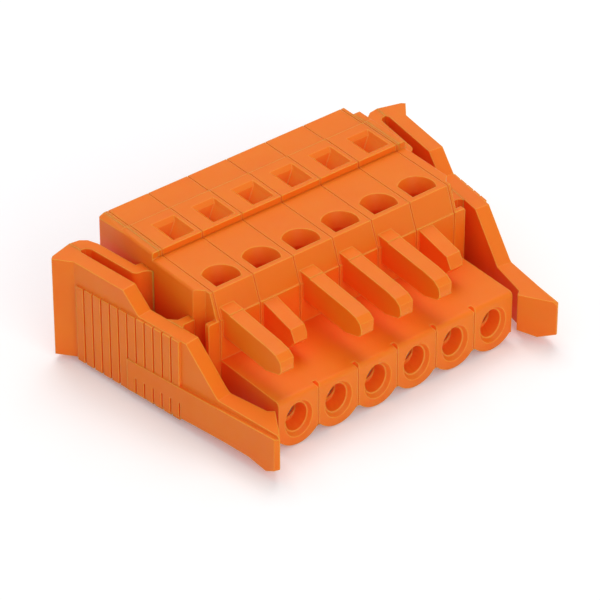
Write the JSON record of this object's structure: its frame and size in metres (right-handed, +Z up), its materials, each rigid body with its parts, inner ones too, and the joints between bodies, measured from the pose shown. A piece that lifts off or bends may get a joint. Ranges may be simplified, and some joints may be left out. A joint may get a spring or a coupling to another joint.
{
  "type": "pluggable terminal block",
  "caption": "Pluggable female terminal block with cage clamps, pin sockets in front, wire entries at the rear, tool and test openings on top and a latching lever on each side",
  "frame": {"origin": "bottom centre of the overall box", "axes": "+X along the row of poles to the right, -Y out of the mating face, +Z up"},
  "size_m": [0.0464, 0.0317, 0.0146],
  "materials": {
    "orange_plastic": "semi-gloss moulded polyamide",
    "contact_metal": "tin-plated copper",
    "spring_steel": "bright spring steel strip"
  },
  "bodies": {
    "block": {"housing": "orange_plastic", "rear_cover": "orange_plastic", "hinge_web_left": "orange_plastic", "hinge_web_right": "orange_plastic", "return_spring_left": "orange_plastic", "return_spring_right": "orange_plastic", "contact_1": "contact_metal", "contact_2": "contact_metal", "contact_3": "contact_metal", "contact_4": "contact_metal", "contact_5": "contact_metal", "contact_6": "contact_metal"},
    "lever_left": {"lever_left": "orange_plastic"},
    "lever_right": {"lever_right": "orange_plastic"},
    "clamp_1": {"clamp_1": "spring_steel"},
    "clamp_2": {"clamp_2": "spring_steel"},
    "clamp_3": {"clamp_3": "spring_steel"},
    "clamp_4": {"clamp_4": "spring_steel"},
    "clamp_5": {"clamp_5": "spring_steel"},
    "clamp_6": {"clamp_6": "spring_steel"}
  },
  "joints": [
    {"name": "lever_right_squeeze", "type": "hinge", "parent": "block", "child": "lever_right", "pos_m": [0.0173, 0.0003, 0.0055], "axis": [0, 0, 1], "range_deg": [0, 5], "stiffness_Nm_per_rad": 0.5, "deforming": ["hinge_web_right", "return_spring_right"]},
    {"name": "lever_left_squeeze", "type": "hinge", "parent": "block", "child": "lever_left", "pos_m": [-0.0173, 0.0003, 0.0055], "axis": [0, 0, -1], "range_deg": [0, 5], "stiffness_Nm_per_rad": 0.5, "deforming": ["hinge_web_left", "return_spring_left"]},
    {"name": "clamp_1_open", "type": "hinge", "parent": "block", "child": "clamp_1", "pos_m": [-0.0127, 0.00055, 0.0059], "axis": [-1, 0, 0], "range_deg": [0, 14], "stiffness_Nm_per_rad": 0.5},
    {"name": "clamp_2_open", "type": "hinge", "parent": "block", "child": "clamp_2", "pos_m": [-0.00762, 0.00055, 0.0059], "axis": [-1, 0, 0], "range_deg": [0, 14], "stiffness_Nm_per_rad": 0.5},
    {"name": "clamp_3_open", "type": "hinge", "parent": "block", "child": "clamp_3", "pos_m": [-0.00254, 0.00055, 0.0059], "axis": [-1, 0, 0], "range_deg": [0, 14], "stiffness_Nm_per_rad": 0.5},
    {"name": "clamp_4_open", "type": "hinge", "parent": "block", "child": "clamp_4", "pos_m": [0.00254, 0.00055, 0.0059], "axis": [-1, 0, 0], "range_deg": [0, 14], "stiffness_Nm_per_rad": 0.5},
    {"name": "clamp_5_open", "type": "hinge", "parent": "block", "child": "clamp_5", "pos_m": [0.00762, 0.00055, 0.0059], "axis": [-1, 0, 0], "range_deg": [0, 14], "stiffness_Nm_per_rad": 0.5},
    {"name": "clamp_6_open", "type": "hinge", "parent": "block", "child": "clamp_6", "pos_m": [0.0127, 0.00055, 0.0059], "axis": [-1, 0, 0], "range_deg": [0, 14], "stiffness_Nm_per_rad": 0.5}
  ]
}
